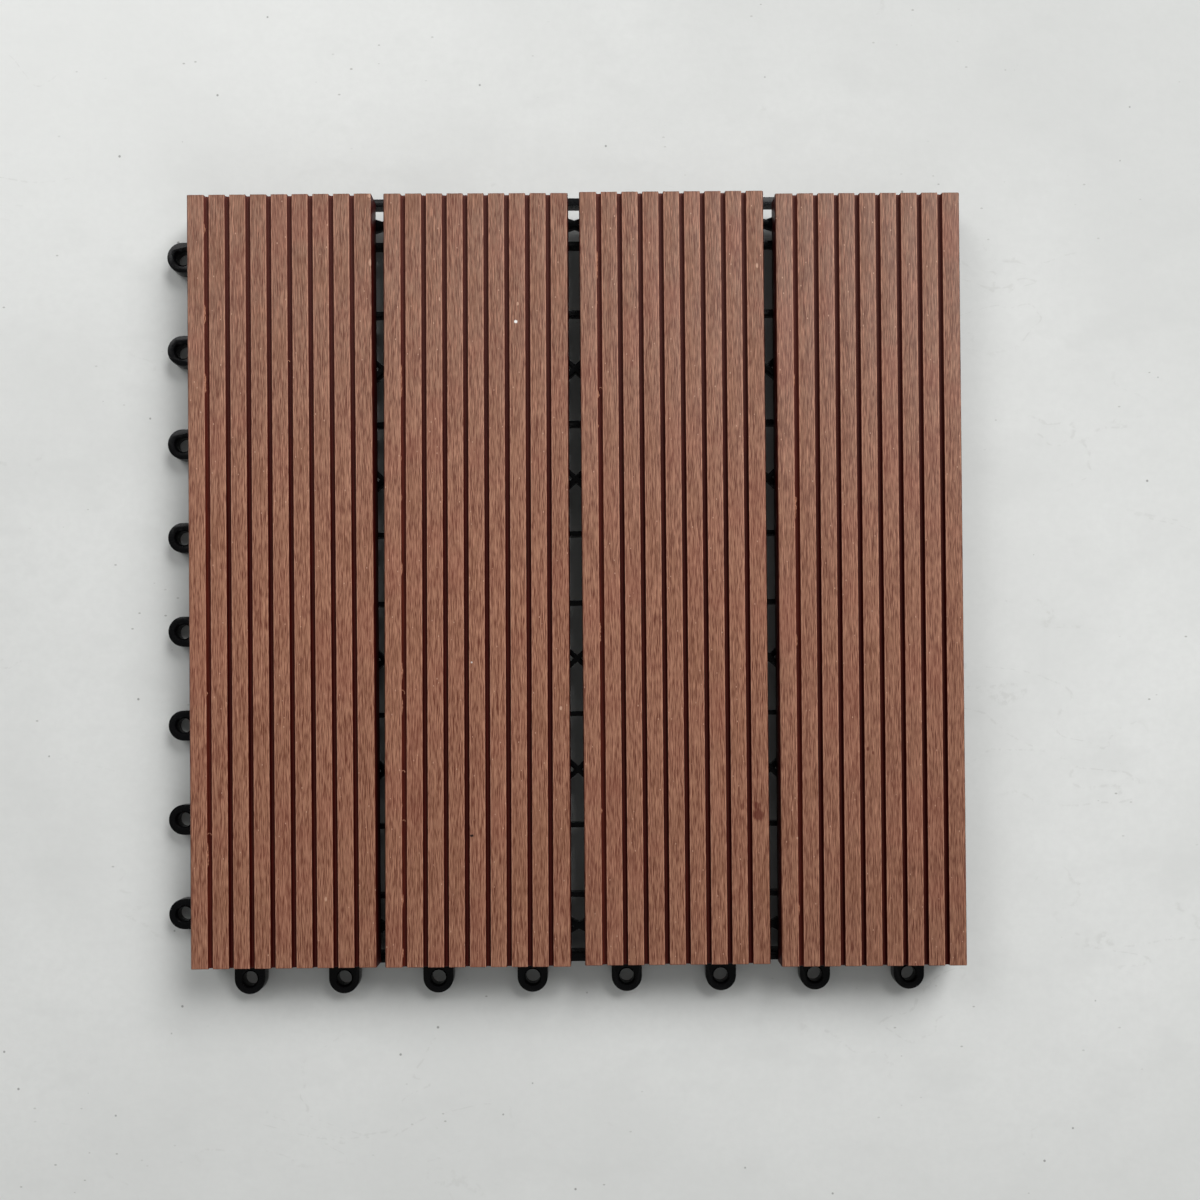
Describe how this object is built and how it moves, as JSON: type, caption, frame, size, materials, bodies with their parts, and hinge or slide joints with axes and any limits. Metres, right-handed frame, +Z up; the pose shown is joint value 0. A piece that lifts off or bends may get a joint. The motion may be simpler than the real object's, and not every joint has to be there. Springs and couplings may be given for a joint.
{
  "type": "interlocking deck tile",
  "caption": "Square outdoor deck tile: grooved wood-plastic boards screwed to a black moulded open base with joining eyelets and pins.",
  "frame": {"origin": "middle of the tile's outline, eyelets and rims counted, on the floor under it", "axes": "+Z up out of the walking surface, +Y along the boards towards a pin side, +X across the boards towards the other pin side"},
  "size_m": [0.3152, 0.3152, 0.022],
  "materials": {
    "base_plastic": "black moulded polypropylene, satin",
    "board_composite": "brushed red-brown wood-plastic composite with fine lengthways grain",
    "screw_steel": "plain zinc-plated steel"
  },
  "bodies": {
    "root": {"base_grid": "base_plastic", "fixing_screws": "screw_steel", "slat_left": "board_composite", "slat_mid_left": "board_composite", "slat_mid_right": "board_composite", "slat_right": "board_composite"}
  },
  "joints": []
}
